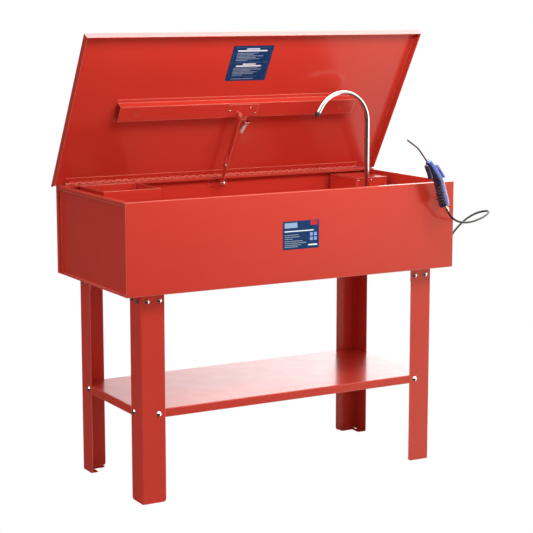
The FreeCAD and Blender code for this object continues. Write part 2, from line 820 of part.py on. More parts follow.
def pump_motor():
    can = Part.makeCylinder(36, 95, at_height(65))
    can = rounded(can, 6.0, lambda e: e.BoundBox.ZMin > pump_height(65) + 94)
    fins = []
    for k in range(12):
        fin = block(pump_centre.x + 35, pump_centre.x + 40, pump_centre.y - 1.2, pump_centre.y + 1.2,
                    pump_height(75), pump_height(150))
        fins.append(spin(fin, at_height(0), Z, 30 * k))
    well = rod(5.0, at_height(64), at_height(100))
    return fuse([can] + fins).cut(well)


def spout_screw_points():
    return [Vector(x, guard_front, spout_screw_height) for x in spout_screw_xs]


def spout_bracket():
    shelf_plate = block(424, 456, 18, guard_front, 855, 858)
    drop = block(424, 456, guard_front - 3, guard_front, 800, 858)
    hole = rod(6.0, Vector(spout_base.x, spout_base.y, 850), Vector(spout_base.x, spout_base.y, 862))
    pipe = Vector(spout_base.x, guard_front, supply_height)
    pipe_hole = rod(8.0, pipe - Y * 8, pipe + Y * 5)
    screws = [rod(2.2, p - Y * 8, p + Y * 5) for p in spout_screw_points()]
    return fuse([shelf_plate, drop]).cut(fuse_loose([hole, pipe_hole] + screws))


def spout_bracket_screws():
    return fuse_loose([small_screw(p - Y * 3, -Y, 3.5, 2.0, 7.0) for p in spout_screw_points()])


def fold_axis():
    """The spout falls towards the front left corner about this level axis."""
    return Vector(math.cos(math.radians(spout_fold_heading)), -math.sin(math.radians(spout_fold_heading)), 0)


def spout_cup():
    """Socket under the spout's ball, with two ears that carry the pivot pin."""
    cup = Part.makeCylinder(14, 13, Vector(spout_base.x, spout_base.y, 858))
    tail = rod(5.9, Vector(spout_base.x, spout_base.y, 846), Vector(spout_base.x, spout_base.y, 858))
    axis = fold_axis()
    across = Z.cross(axis) * 6
    drop = Z * 22
    ears = []
    for side in (-1, 1):
        inner = spout_base + axis * side * ear_inner
        ears.append(plate([inner + across - drop, inner - across - drop, inner - across, inner + across],
                          axis * side * ear_sheet))
        ears.append(rod(6.0, inner, inner + axis * side * ear_sheet))
        low = spout_base - drop
        ears.append(plate([low + across, low - across, low - across + Z * 3, low + across + Z * 3],
                          axis * side * (ear_inner + ear_sheet)))
    pocket = Part.makeSphere(spout_ball_radius + ball_clearance, spout_base)
    bore = rod(4.0, Vector(spout_base.x, spout_base.y, 840), Vector(spout_base.x, spout_base.y, 890))
    pin_hole = rod(pivot_pin_radius, spout_base - axis * 30, spout_base + axis * 30)
    return fuse([cup, tail] + ears).cut(fuse_loose([pocket, bore, pin_hole]))


def spout_pivot_pin():
    reach = ear_inner + ear_sheet + 1.5
    return rod(pivot_pin_radius, spout_base - fold_axis() * reach, spout_base + fold_axis() * reach)


def on_spout_arc(degrees):
    angle = math.radians(degrees)
    centre = Vector(spout_base.x - spout_arc_radius, spout_base.y, spout_stem_top)
    return centre + X * (spout_arc_radius * math.cos(angle)) + Z * (spout_arc_radius * math.sin(angle))


def spout_end():
    """Where the spout's last straight run ends, and its direction there."""
    angle = math.radians(spout_arc_angle)
    way = Vector(-math.sin(angle), 0, math.cos(angle))
    return on_spout_arc(spout_arc_angle) + way * spout_end_run, way


def spout_tube():
    stem = Part.LineSegment(spout_base, on_spout_arc(0)).toShape()
    middle = on_spout_arc(spout_arc_angle / 2)
    arch = Part.Arc(on_spout_arc(0), middle, on_spout_arc(spout_arc_angle)).toShape()
    run = Part.LineSegment(on_spout_arc(spout_arc_angle), spout_end()[0]).toShape()
    path = Part.Wire([stem, arch, run])
    ball = Part.makeSphere(spout_ball_radius, spout_base)
    drain = rod(4.0, spout_base - Z * 20, spout_base)
    reach = fold_axis() * 30
    pin_hole = rod(pivot_pin_radius + pin_clearance, spout_base - reach, spout_base + reach)
    solid = fuse([tube_along(path, spout_radius), ball])
    return solid.cut(tube_along(path, spout_bore)).cut(fuse_loose([drain, pin_hole]))


def spout_nozzle():
    tip, way = spout_end()
    collar = rod(spout_radius + 0.8, tip, tip + way * 6)
    taper = Part.makeCone(spout_radius + 0.8, spout_radius - 3.0, 10, tip + way * 6, way)
    bore = rod(3.5, tip - way, tip + way * 25)
    return fuse([collar, taper]).cut(bore)


def supply_elbow():
    """Bent tube from the guard's front wall to the underside of the spout cup."""
    radius = 10.0
    start = Vector(spout_base.x, guard_front + 10, supply_height)
    knee = Vector(spout_base.x, spout_base.y + radius, supply_height)
    rise = Vector(spout_base.x, spout_base.y, supply_height + radius)
    bend = rise + Y * radius + spin_vector(-Y * radius, X, 45)
    wire = Part.Wire([Part.LineSegment(start, knee).toShape(), Part.Arc(knee, bend, rise).toShape()])
    return tube_along(wire, 6.5, 4.0)


def outlet_hose():
    start = outlet_point()
    wire, _, _ = tangent_path([
        tuple(start), (start.x - 11, start.y - 11, start.z), (start.x - 15, start.y - 15, start.z + 30),
        (434, 102, 770), (435, 102, 815), (spout_base.x, 98, supply_height),
        (spout_base.x, guard_front + 10, supply_height)])
    return tube_along(wire, 6.0)


# ---- Air gun, its holder, hose and fittings -------------------------------------------------------
def gun_outline_solid(points, depth, fillet):
    base = [Vector(x, gun_plane - depth, z) for x, z in points]
    solid = plate(base, Y * 2 * depth)
    return rounded(solid, fillet, lambda e: True)


def gun_lugs():
    """Two cheeks on the body that carry the trigger pin."""
    cheeks = []
    for side in (-1, 1):
        y0, y1 = sorted((gun_plane + side * 4.4, gun_plane + side * 8.4))
        cheek = plate([Vector(466, y0, 985), Vector(473, y0, 992), Vector(484, y0, 990), Vector(484, y0, 979),
                       Vector(476, y0, 970)], Y * (y1 - y0))
        cheeks.append(cheek)
    return cheeks


def gun_body():
    """Moulded body: head, barrel, hook lug, grip and trigger cheeks in one piece."""
    outline = [(437, 1000), (453, 1006), (471, 976), (478, 958), (494, 940), (508, 915), (530, 858),
               (495, 848), (470, 925), (464, 941), (447, 941), (449, 964), (431, 989)]
    body = gun_outline_solid(outline, gun_half_depth, 3.0)
    bore = rod(3.0, Vector(441, gun_plane, 1002), Vector(455, gun_plane, 985))
    pocket = block(466, 500, gun_plane - 4.4, gun_plane + 4.4, 962, 994)
    inlet = rod(5.0, Vector(*hose_points[0]), Vector(507, gun_plane, 868))
    pin_hole = rod(1.5, trigger_pivot - Y * 20, trigger_pivot + Y * 20)
    hollow_body = body.cut(fuse_loose([bore, pocket, inlet]))
    return fuse([hollow_body] + gun_lugs()).cut(pin_hole)


def gun_nozzle():
    route = [(446, gun_plane, 996), (406, gun_plane, 1045.5), (364.7, gun_plane, 1073)]
    wire, _, _ = tangent_path(route, 0.2)
    return tube_along(wire, 2.6, 1.5)


def gun_trigger():
    """Lever on the outer side of the gun, pivoting at its upper end."""
    outline = [(471, 984.5), (478.5, 992), (486, 985), (509, 950), (503, 944.5), (490, 962), (481, 977)]
    base = [Vector(x, gun_plane - 4.0, z) for x, z in outline]
    lever = rounded(plate(base, Y * 8.0), 1.0, lambda e: True)
    return lever.cut(rod(1.6, trigger_pivot - Y * 20, trigger_pivot + Y * 20))


def gun_trigger_pin():
    return rod(1.5, trigger_pivot - Y * 9, trigger_pivot + Y * 9)


def gun_fitting():
    end = Vector(*hose_points[0])
    way = (Vector(507, gun_plane, 868) - end).normalize()
    nut = plate([end + way * 4 + spin_vector(Y, way, 60 * k) * 7.5 for k in range(6)], way * 9)
    nose = rod(4.9, end + way * 13, end + way * 26)
    tail = rod(5.2, end, end + way * 4)
    return fuse([nut, nose, tail])


def gun_holder():
    """Sheet bracket screwed to the front panel, with a slanted arm and a rest behind the gun's grip."""
    face = -tank_depth / 2
    near = gun_plane + gun_half_depth + 0.2
    x0, x1 = holder_screw_xs
    z = holder_screw_height
    back = block(x0 - 6, x1 + 6, face - 2, face, z - 10, z + 8)
    arm = plate([Vector(490, near, z - 9), Vector(516, near, z - 9), Vector(x1 + 4, face, z - 9),
                 Vector(x0 - 4, face, z - 9)], Z * 2)
    rest = block(490, 516, near, near + 2, z - 10, z + 8)
    holes = [rod(2.2, p - Y * 5, p + Y * 5) for p in holder_screw_points()]
    return fuse([back, arm, rest]).cut(fuse_loose(holes))


def holder_screw_points():
    return [Vector(x, -tank_depth / 2, holder_screw_height) for x in holder_screw_xs]


def gun_holder_screws():
    return fuse_loose([small_screw(p - Y * 2, -Y, 3.8, 2.2, 2.0) for p in holder_screw_points()])


def air_hose():
    wire, length, radii = tangent_path(hose_points)
    tube = tube_along(wire, hose_radius)
    expected = math.pi * hose_radius ** 2 * length
    print("hose length", round(length, 1), "volume ratio", round(tube.Volume / expected, 4))
    print("hose radii", [round(r, 1) for r in radii])
    return tube


def air_inlet():
    """Block on the right end panel: hose barb outwards, plug nipple downwards, stud through the wall."""
    tip = Vector(*hose_points[-1])
    way = (tip - Vector(*hose_points[-2])).normalize()
    y, z = inlet_point.y, inlet_point.z
    body = block(end_outer, end_outer + inlet_reach, y - 12, y + 12, z - 15, z + 13)
    body = rounded(body, 1.5, lambda e: e.BoundBox.XMin > end_outer + 0.1)
    barb = rod(4.6, tip, tip + way * 14)
    collar = rod(6.0, tip + way * 4, tip + way * 14)
    nipple_x = end_outer + inlet_reach - 7
    nipple = rod(nipple_radius, Vector(nipple_x, y, z - 15 - nipple_length), Vector(nipple_x, y, z - 12))
    ring = rod(7.0, Vector(nipple_x, y, z - 19), Vector(nipple_x, y, z - 13))
    stud = rod(7.0, inlet_point - X * 14, inlet_point + X * 2)
    return fuse([body, barb, collar, nipple, ring, stud])


def lock_nuts():
    """Nuts of the air inlet's stud and of the cable gland, inside the tank."""
    inlet_nut = hex_nut(inlet_point - X * tank_sheet, -X, 11.0, 6.0, 7.05)
    gland_nut = hex_nut(gland_point, -Y, 15.0, 6.0, 10.05)
    return fuse_loose([inlet_nut, gland_nut])


def cable_gland():
    centre = gland_point
    thread = rod(10.0, centre - Y * 12, centre + Y * tank_sheet)
    collar = plate([centre + Y * tank_sheet + spin_vector(X, Y, 60 * k) * 15 for k in range(6)], Y * 6)
    dome = Part.makeCone(12, 8.5, 10, centre + Y * (tank_sheet + 6), Y)
    bore = rod(4.0, centre - Y * 20, centre + Y * 30)
    return fuse([thread, collar, dome]).cut(bore)


# ---- Labels -----------------------------------------------------------------------------------------
def front_label():
    x0, x1, z0, z1 = label_front
    face = -tank_depth / 2
    return rounded(block(x0, x1, face - label_sheet, face, z0, z1), 3.0, lambda e: straight_along(e, Y))


def lid_label():
    x0, x1, near, far = label_lid
    label = block(x0, x1, lid_y(far), lid_y(near), lid_inner - label_sheet, lid_inner)
    return opened(rounded(label, 3.0, lambda e: straight_along(e, Z)))


def main():
    save("tank_front_panel", front_panel())
    save("tank_rear_panel", rear_panel())
    save("tank_end_right", right_end_panel())
    save("tank_end_left", mirrored(end_panel(), X))
    save("tank_floor", tank_floor())
    save("drain_boss", drain_boss())
    save("drain_plug", drain_plug())
    names = {(-1, -1): "front_left", (1, -1): "front_right", (-1, 1): "rear_left", (1, 1): "rear_right"}
    for corner, name in names.items():
        save("leg_" + name, placed_in_corner(leg(), *corner))
    save("corner_brackets", fuse_loose([placed_in_corner(corner_bracket(), *corner) for corner in names]))
    save("shelf", shelf())
    save("frame_bolts", fuse_loose([bolt_set(corner_bolt_points(), 12.0),
                                    bolt_set(shelf_bolt_points(), 11.0)]))
    save("frame_nuts", fuse_loose([nut_set(corner_bolt_points(), 2 * leg_sheet),
                                   nut_set(shelf_bolt_points(), leg_sheet + shelf_sheet)]))
    save("lid_panel", lid_panel())
    save("lid_rail", lid_rail())
    save("hinge_tank_leaf", tank_leaf())
    save("hinge_lid_leaf", lid_leaf())
    save("hinge_pin", hinge_pin())
    save("stay_arm", stay_arm())
    save("stay_arm_pivot_pin", stay_arm_pivot_pin())
    save("stay_link", stay_link())
    save("stay_slot_pin", stay_slot_pin())
    save("stay_anchor_bolt", stay_anchor_bolt())
    save("stay_anchor_nut", stay_anchor_nut())
    save("stay_lower_bracket", stay_lower_bracket())
    save("stay_upper_bracket", stay_upper_bracket())
    save("stay_upper_screws", stay_upper_screws())
    save("stay_spring", stay_spring())
    save("spring_holder", spring_holder())
    save("soak_tray", soak_tray())
    save("tray_brackets", tray_brackets())
    save("pump_guard", pump_guard())
    save("pump_cover", pump_cover())
    save("pump_base", pump_base())
    save("pump_strainer", pump_strainer())
    save("pump_housing", pump_housing())
    save("pump_impeller", pump_impeller())
    save("pump_motor", pump_motor())
    save("outlet_hose", outlet_hose())
    save("supply_elbow", supply_elbow())
    save("spout_bracket", spout_bracket())
    save("spout_cup", spout_cup())
    save("spout_pivot_pin", spout_pivot_pin())
    save("spout_tube", spout_tube())
    save("spout_nozzle", spout_nozzle())
    save("gun_body", gun_body())
    save("gun_nozzle", gun_nozzle())
    save("gun_trigger", gun_trigger())
    save("gun_trigger_pin", gun_trigger_pin())
    save("gun_fitting", gun_fitting())
    save("gun_holder", gun_holder())
    save("air_hose", air_hose())
    save("air_inlet", air_inlet())
    save("lock_nuts", lock_nuts())
    save("cable_gland", cable_gland())
    save("bracket_screws", fuse_loose([stay_lower_screws(), tray_screws(), cover_screws(),
                                       spout_bracket_screws(), gun_holder_screws()]))
    save("label_front", front_label())
    save("label_lid", lid_label())


main()
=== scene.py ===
import math

import bmesh
import bpy
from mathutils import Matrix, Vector


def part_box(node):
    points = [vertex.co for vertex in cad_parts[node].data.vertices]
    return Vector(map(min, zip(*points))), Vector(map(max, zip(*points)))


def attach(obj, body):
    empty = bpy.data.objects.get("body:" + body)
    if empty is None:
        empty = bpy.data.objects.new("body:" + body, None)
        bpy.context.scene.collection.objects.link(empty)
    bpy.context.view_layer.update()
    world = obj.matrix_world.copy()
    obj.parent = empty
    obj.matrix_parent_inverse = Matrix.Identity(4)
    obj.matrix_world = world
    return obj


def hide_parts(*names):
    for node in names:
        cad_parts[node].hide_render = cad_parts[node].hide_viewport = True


# Looks of the parts washer tank: paint, metals, plastics, the moulded air gun, the stay's coil
# spring, the air hose, the blank labels, and a plain studio. Metres, in the frame of the CAD model.

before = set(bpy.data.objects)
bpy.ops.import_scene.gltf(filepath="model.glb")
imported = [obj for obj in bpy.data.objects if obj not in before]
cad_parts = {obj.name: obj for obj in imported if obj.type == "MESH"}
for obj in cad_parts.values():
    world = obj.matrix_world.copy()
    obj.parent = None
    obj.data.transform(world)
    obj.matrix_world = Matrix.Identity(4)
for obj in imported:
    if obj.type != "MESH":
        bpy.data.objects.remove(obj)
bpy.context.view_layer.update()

# ---- Camera ---------------------------------------------------------------------------------
CAMERA_PLACE = (-2.5346, -4.5177, 1.5029)
CAMERA_YAW = 0.517
CAMERA_PITCH = 0.162
CAMERA_LENS = 109.64
SENSOR = 36.0


def make_camera():
    data = bpy.data.cameras.new("camera")
    data.lens = CAMERA_LENS
    data.sensor_width = SENSOR
    data.clip_end = 100
    camera = bpy.data.objects.new("camera", data)
    camera.location = CAMERA_PLACE
    camera.rotation_euler = (math.pi / 2 - CAMERA_PITCH, 0, -CAMERA_YAW)
    bpy.context.scene.collection.objects.link(camera)
    bpy.context.scene.camera = camera


# ---- Small helpers --------------------------------------------------------------------------
def link(obj):
    bpy.context.scene.collection.objects.link(obj)
    return obj


def mesh_object(name, mesh, material, smooth=True):
    obj = link(bpy.data.objects.new(name, mesh))
    obj.data.materials.append(material)
    for face in mesh.polygons:
        face.use_smooth = smooth
    return obj


class Nodes:
    """A short way to write a material's node tree."""

    def __init__(self, name):
        self.material = bpy.data.materials.new(name)
        self.material.use_nodes = True
        self.tree = self.material.node_tree
        self.shader = self.tree.nodes["Principled BSDF"]
        self.coordinates = self.tree.nodes.new("ShaderNodeTexCoord").outputs["Object"]

    def add(self, kind, inputs=None, **settings):
        node = self.tree.nodes.new("ShaderNode" + kind)
        for key, value in settings.items():
            setattr(node, key, value)
        for key, value in (inputs or {}).items():
            self.put(node.inputs[key], value)
        return node

    def put(self, socket, value):
        if isinstance(value, bpy.types.NodeSocket):
            self.tree.links.new(value, socket)
        else:
            socket.default_value = value

    def set(self, **values):
        for key, value in values.items():
            self.put(self.shader.inputs[key.replace("_", " ")], value)

    def noise(self, scale, detail, vector=None):
        node = self.add("TexNoise", {"Vector": vector or self.coordinates, "Scale": scale, "Detail": detail})
        return node.outputs["Fac"]

    def map(self, value, low, high, to_low, to_high):
        node = self.add("MapRange", {"Value": value, "From Min": low, "From Max": high, "To Min": to_low,
                                     "To Max": to_high})
        return node.outputs["Result"]

    def mix(self, factor, a, b):
        node = self.add("Mix", data_type="RGBA")
        self.put(node.inputs[0], factor)
        self.put(node.inputs[6], a)
        self.put(node.inputs[7], b)
        return node.outputs[2]

    def math(self, operation, a, b=0.0):
        node = self.add("Math", {0: a, 1: b}, operation=operation)
        return node.outputs[0]

    def bump(self, height, strength, distance, normal=None):
        node = self.add("Bump", {"Height": height, "Strength": strength, "Distance": distance})
        if normal is not None:
            self.put(node.inputs["Normal"], normal)
        return node.outputs["Normal"]

    def bevel(self, radius):
        return self.add("Bevel", {"Radius": radius}, samples=6).outputs["Normal"]

    def edge_mask(self, bevel_normal):
        """1 along sharp edges, 0 on flat faces."""
        true_normal = self.add("NewGeometry").outputs["Normal"]
        dot = self.add("VectorMath", {0: bevel_normal, 1: true_normal}, operation="DOT_PRODUCT")
        return self.map(self.math("SUBTRACT", 1.0, dot.outputs["Value"]), 0.02, 0.25, 0.0, 1.0)


def rgba(r, g, b):
    return (r, g, b, 1.0)


# ---- Materials ------------------------------------------------------------------------------
PAINT = (0.570, 0.038, 0.021)
PAINT_CLOUD = (0.555, 0.035, 0.020)
# Painted highlight: the pale orange-red that the base colour turns to along sharp edges, where the rims catch
# the light.
PAINT_EDGE_HIGHLIGHT = (0.90, 0.34, 0.26)
PAINT_EDGE_HIGHLIGHT_SHARE = 0.8
PAINT_EDGE_RADIUS = 0.0040


def paint(name):
    """Gloss powder coat: very faint cloudiness, orange peel, softened edges, and a painted highlight that
    makes the edges brighter.
    """
    n = Nodes(name)
    cloud = n.map(n.noise(3.0, 2.0), 0.3, 0.7, 0.0, 1.0)
    base = n.mix(cloud, rgba(*PAINT_CLOUD), rgba(*PAINT))
    rounded = n.bevel(PAINT_EDGE_RADIUS)
    # Painted highlight along the sharp edges, mixed into the base colour.
    edge_highlight = n.math("MULTIPLY", n.edge_mask(rounded), PAINT_EDGE_HIGHLIGHT_SHARE)
    base = n.mix(edge_highlight, base, rgba(*PAINT_EDGE_HIGHLIGHT))
    peel = n.bump(n.noise(420.0, 2.0), 0.012, 0.0006, rounded)
    waves = n.bump(n.noise(5.0, 1.0), 0.04, 0.002, peel)
    n.set(Base_Color=base, Roughness=n.map(n.noise(14.0, 4.0), 0.3, 0.7, 0.29, 0.36),
          Normal=waves, Coat_Weight=0.6, Coat_Roughness=0.15, IOR=1.4, Specular_IOR_Level=0.3)
    return n.material


def bright_metal(name, colour, roughness=0.14, scratches=0.04):
    """Plated or turned metal: fine streaks along Z and faint dulling."""
    n = Nodes(name)
    stretch = n.add("Mapping", {"Vector": n.coordinates, "Scale": (60.0, 60.0, 700.0)}).outputs["Vector"]
    streak = n.noise(3.0, 3.0, vector=stretch)
    dulled = [c * 0.72 for c in colour]
    tint = n.mix(n.map(n.noise(90.0, 2.0), 0.35, 0.7, 0.0, 0.35), rgba(*colour), rgba(*dulled))
    n.set(Base_Color=tint, Metallic=1.0,
          Roughness=n.map(streak, 0.3, 0.7, roughness - 0.03, roughness + 0.07),
          Normal=n.bump(streak, scratches, 0.0004, n.bevel(0.0006)))
    return n.material


def plastic(name, colour, roughness, grain_scale=900.0, grain=0.12, coat=0.0):
    """Moulded plastic: fine grain and slightly lighter worn patches."""
    n = Nodes(name)
    worn_colour = [c * 1.35 + 0.004 for c in colour]
    base = n.mix(n.map(n.noise(40.0, 3.0), 0.4, 0.75, 0.0, 0.35), rgba(*colour), rgba(*worn_colour))
    n.set(Base_Color=base,
          Roughness=n.map(n.noise(25.0, 3.0), 0.3, 0.7, roughness - 0.04, roughness + 0.06),
          Normal=n.bump(n.noise(grain_scale, 2.0), grain, 0.0003), Coat_Weight=coat, Coat_Roughness=0.05)
    return n.material


def rubber(name, colour):
    """Satin rubber with a little dust."""
    n = Nodes(name)
    dust = n.map(n.noise(60.0, 4.0), 0.5, 0.8, 0.0, 0.3)
    base = n.mix(dust, rgba(*colour), rgba(0.03, 0.03, 0.032))
    n.set(Base_Color=base, Roughness=n.map(n.noise(110.0, 3.0), 0.3, 0.7, 0.42, 0.56),
          Normal=n.bump(n.noise(1400.0, 2.0), 0.1, 0.0002))
    return n.material


# The line of the gun's painted shade: the hook's side is painted dark as shade, the trigger's side is blue;
# it lies along the grip, and leans over above GRIP_TOP.
GRIP_ACROSS = (0.957, 0.289)
GRIP_CENTRE = 0.7385
GRIP_TOP = 0.939
HEAD_LEAN = 0.45


def gun_plastic_painted_shade(name, dark, bright):
    """Gloss blue moulding with painted shade: dark on the side of the hook, where the gun is in shade, gloss
    blue on the side of the trigger.
    """
    n = Nodes(name)
    split = n.add("SeparateXYZ", {"Vector": n.coordinates})
    x, z = split.outputs["X"], split.outputs["Z"]
    across = n.math("ADD", n.math("MULTIPLY", x, GRIP_ACROSS[0]), n.math("MULTIPLY", z, GRIP_ACROSS[1]))
    lean = n.math("MULTIPLY", n.math("MAXIMUM", n.math("SUBTRACT", z, GRIP_TOP), 0.0), HEAD_LEAN)
    # Painted shade: 0 on the shaded side of the hook, 1 on the blue side.
    side = n.map(n.math("ADD", across, lean), GRIP_CENTRE - 0.002, GRIP_CENTRE + 0.004, 0.0, 1.0)
    base = n.mix(side, rgba(*dark), rgba(*bright))
    n.set(Base_Color=n.mix(n.map(n.noise(60.0, 2.0), 0.3, 0.7, 0.0, 0.2), base, rgba(*dark)),
          Roughness=n.map(n.noise(40.0, 2.0), 0.3, 0.7, 0.22, 0.3),
          Normal=n.bump(n.noise(900.0, 2.0), 0.04, 0.0002), Coat_Weight=0.9, Coat_Roughness=0.12)
    return n.material


MATERIALS = {
    "red_paint": paint("red_paint"),
    "zinc": bright_metal("zinc", (0.74, 0.74, 0.76)),
    "chrome": bright_metal("chrome", (0.80, 0.83, 0.90), 0.2, 0.02),
    "dark_plastic": plastic("dark_plastic", (0.022, 0.022, 0.025), 0.42),
    "hose_rubber": rubber("hose_rubber", (0.006, 0.006, 0.007)),
    "clear_hose": rubber("clear_hose", (0.05, 0.05, 0.055)),
    # Blue gun moulding, with its shaded side painted dark.
    "gun_blue": gun_plastic_painted_shade("gun_blue", (0.020, 0.012, 0.030), (0.040, 0.090, 0.44)),
    # Painted shade: near-black plum for the gun's hook, as the shaded side of the gun.
    "gun_painted_shade": plastic("gun_painted_shade", (0.018, 0.014, 0.034), 0.3, 700.0, 0.05, 0.5),
    "gun_blue_light": plastic("gun_blue_light", (0.22, 0.34, 0.78), 0.2, 700.0, 0.06, 0.9),
    "gun_steel": bright_metal("gun_steel", (0.20, 0.11, 0.13), 0.3),
    "brass": bright_metal("brass", (0.93, 0.84, 0.62), 0.3),
}


# ---- Generic labels: a blue film with plain bars and blocks ---------------------------------
FILM = (0.004, 0.032, 0.105)
FILM_CLOUD = (0.006, 0.040, 0.125)
FILM_INSIDE_FRAME = (0.004, 0.034, 0.112)
FRAME_LINE = (0.05, 0.10, 0.20)
PALE = (0.30, 0.36, 0.45)
WHITE = (0.80, 0.83, 0.88)
PANEL_BLUE = (0.25, 0.36, 0.66)


def bars(left, height, rows):
    """Pale bars that start at left, one for each (width, bottom)."""
    return [(left, left + width, bottom, bottom + height, PALE) for width, bottom in rows]


# Each shape is (left, right, bottom, top, colour), as shares of the label. Later ones lie on top.
FRONT_LABEL = bars(0.05, 0.022, (
    (0.38, 0.50), (0.42, 0.43), (0.22, 0.36), (0.50, 0.28), (0.60, 0.21), (0.46, 0.14), (0.36, 0.08))) + [
    (0.05, 0.85, 0.62, 0.66, (0.75, 0.80, 0.86)),
    (0.05, 0.40, 0.76, 0.94, (0.30, 0.42, 0.62)),
    (0.77, 0.95, 0.82, 0.98, (0.55, 0.02, 0.03)),
    (0.75, 0.83, 0.44, 0.56, PANEL_BLUE),
    (0.86, 0.94, 0.44, 0.56, PANEL_BLUE),
    (0.75, 0.83, 0.28, 0.40, PANEL_BLUE),
    (0.86, 0.94, 0.28, 0.40, PANEL_BLUE),
    (0.70, 0.95, 0.10, 0.15, (0.85, 0.87, 0.90))]
LID_LABEL = [
    (0.05, 0.95, 0.12, 0.52, FRAME_LINE),
    (0.055, 0.945, 0.13, 0.51, FILM_INSIDE_FRAME),
    (0.05, 0.95, 0.54, 0.95, FRAME_LINE),
    (0.055, 0.945, 0.55, 0.94, FILM_INSIDE_FRAME),
    (0.34, 0.66, 0.89, 0.92, WHITE),
    (0.34, 0.66, 0.46, 0.49, WHITE),
    (0.13, 0.86, 0.835, 0.87, WHITE),
    (0.18, 0.80, 0.405, 0.44, WHITE)] + bars(0.13, 0.014, (
        (0.52, 0.78), (0.40, 0.74), (0.66, 0.70), (0.48, 0.66), (0.58, 0.62), (0.30, 0.58), (0.60, 0.36),
        (0.70, 0.32), (0.44, 0.28), (0.62, 0.24), (0.52, 0.20), (0.26, 0.16), (0.56, 0.05)))


def label_material(name, node, shapes):
    n = Nodes(name)
    low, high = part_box(node)
    split = n.add("SeparateXYZ", {"Vector": n.coordinates})
    across = n.map(split.outputs["X"], low[0], high[0], 0.0, 1.0)
    up = n.map(split.outputs["Z"], low[2], high[2], 0.0, 1.0)
    base = n.mix(n.map(n.noise(30.0, 2.0), 0.3, 0.7, 0.0, 1.0), rgba(*FILM), rgba(*FILM_CLOUD))

    def inside(value, a, b):
        above = n.math("GREATER_THAN", value, a)
        below = n.math("LESS_THAN", value, b)
        return n.math("MULTIPLY", above, below)

    for left, right, bottom, top, colour in shapes:
        mask = n.math("MULTIPLY", inside(across, left, right), inside(up, bottom, top))
        base = n.mix(mask, base, rgba(*colour))
    n.set(Base_Color=base, Roughness=n.map(n.noise(50.0, 2.0), 0.3, 0.7, 0.24, 0.34),
          Normal=n.bump(n.noise(300.0, 2.0), 0.03, 0.0003), Specular_IOR_Level=0.2)
    return n.material


def node_slots(node, material):
    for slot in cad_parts[node].material_slots:
        slot.material = material


# The CAD nodes that aren't painted.
NODE_MATERIALS = {
    "zinc": ["frame_bolts", "frame_nuts", "bracket_screws", "stay_upper_screws", "stay_anchor_bolt",
             "stay_anchor_nut", "spring_holder", "stay_arm_pivot_pin", "stay_slot_pin", "gun_trigger_pin",
             "hinge_pin", "air_inlet", "lock_nuts", "spout_pivot_pin"],
    "chrome": ["spout_tube", "spout_cup", "supply_elbow"],
    "dark_plastic": ["spout_nozzle", "pump_motor", "pump_base", "pump_strainer", "pump_housing",
                     "pump_impeller", "cable_gland"],
    "clear_hose": ["outlet_hose"],
    "gun_steel": ["gun_nozzle"],
    "brass": ["gun_fitting", "drain_boss", "drain_plug"],
}


def dress_cad_nodes():
    special = {node: key for key, names in NODE_MATERIALS.items() for node in names}
    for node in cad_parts:
        node_slots(node, MATERIALS[special.get(node, "red_paint")])
    node_slots("label_front", label_material("label_front_film", "label_front", FRONT_LABEL))
    node_slots("label_lid", label_material("label_lid_film", "label_lid", LID_LABEL))


# ---- Air hose -------------------------------------------------------------------------------
HOSE_ROUTE = [
    (0.5245, -0.313, 0.838), (0.534, -0.314, 0.824), (0.554, -0.313, 0.8066), (0.5886, -0.310, 0.7955),
    (0.6308, -0.307, 0.7966), (0.675, -0.297, 0.805), (0.714, -0.276, 0.8135), (0.743, -0.245, 0.817),
    (0.753, -0.207, 0.813), (0.738, -0.177, 0.803), (0.707, -0.163, 0.783), (0.675, -0.160, 0.756),
    (0.653, -0.161, 0.733), (0.631, -0.163, 0.713), (0.606, -0.163, 0.707),
]
HOSE_DIAMETER = 0.007


def make_hose():
    curve = bpy.data.curves.new("air_hose_line", "CURVE")
    curve.dimensions = "3D"
    curve.bevel_depth = HOSE_DIAMETER / 2
    curve.bevel_resolution = 6
    curve.resolution_u = 16
    curve.use_fill_caps = True
    spline = curve.splines.new("NURBS")
    spline.points.add(len(HOSE_ROUTE) - 1)
    for point, place in zip(spline.points, HOSE_ROUTE):
        point.co = (*place, 1.0)
    spline.order_u = 3
    spline.use_endpoint_u = True
    hose = link(bpy.data.objects.new("air_hose_line", curve))
    curve.materials.append(MATERIALS["hose_rubber"])
    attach(hose, "root")
    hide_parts("air_hose")


# ---- Lofted pieces --------------------------------------------------------------------------
def loft(name, rings, material):
    """Smooth skin over rings, each a list of points, with the ends capped."""
    mesh = bmesh.new()
    loops = [[mesh.verts.new(p) for p in ring] for ring in rings]
    count = len(loops[0])
    for a, b in zip(loops, loops[1:]):
        for k in range(count):
            mesh.faces.new((a[k], a[(k + 1) % count], b[(k + 1) % count], b[k]))
    mesh.faces.new(loops[0][::-1])
    mesh.faces.new(loops[-1])
    bmesh.ops.recalc_face_normals(mesh, faces=mesh.faces)
    data = bpy.data.meshes.new(name)
    mesh.to_mesh(data)
    mesh.free()
    obj = mesh_object(name, data, material)
    subdivision = obj.modifiers.new("subdivision", "SUBSURF")
    subdivision.levels = 1
    subdivision.render_levels = 1
    return obj


def oval_ring(centre, along, side, half_side, half_depth, count=20, squareness=2.6):
    """Rounded-rectangle ring at centre: side is in the gun's plane, depth is along Y."""
    depth = along.cross(side).normalized()
    ring = []
    for k in range(count):
        angle = 2 * math.pi * k / count
        c, s = math.cos(angle), math.sin(angle)
        u = math.copysign(abs(c) ** (2 / squareness), c) * half_side
        v = math.copysign(abs(s) ** (2 / squareness), s) * half_depth
        ring.append(centre + side * u + depth * v)
    return ring


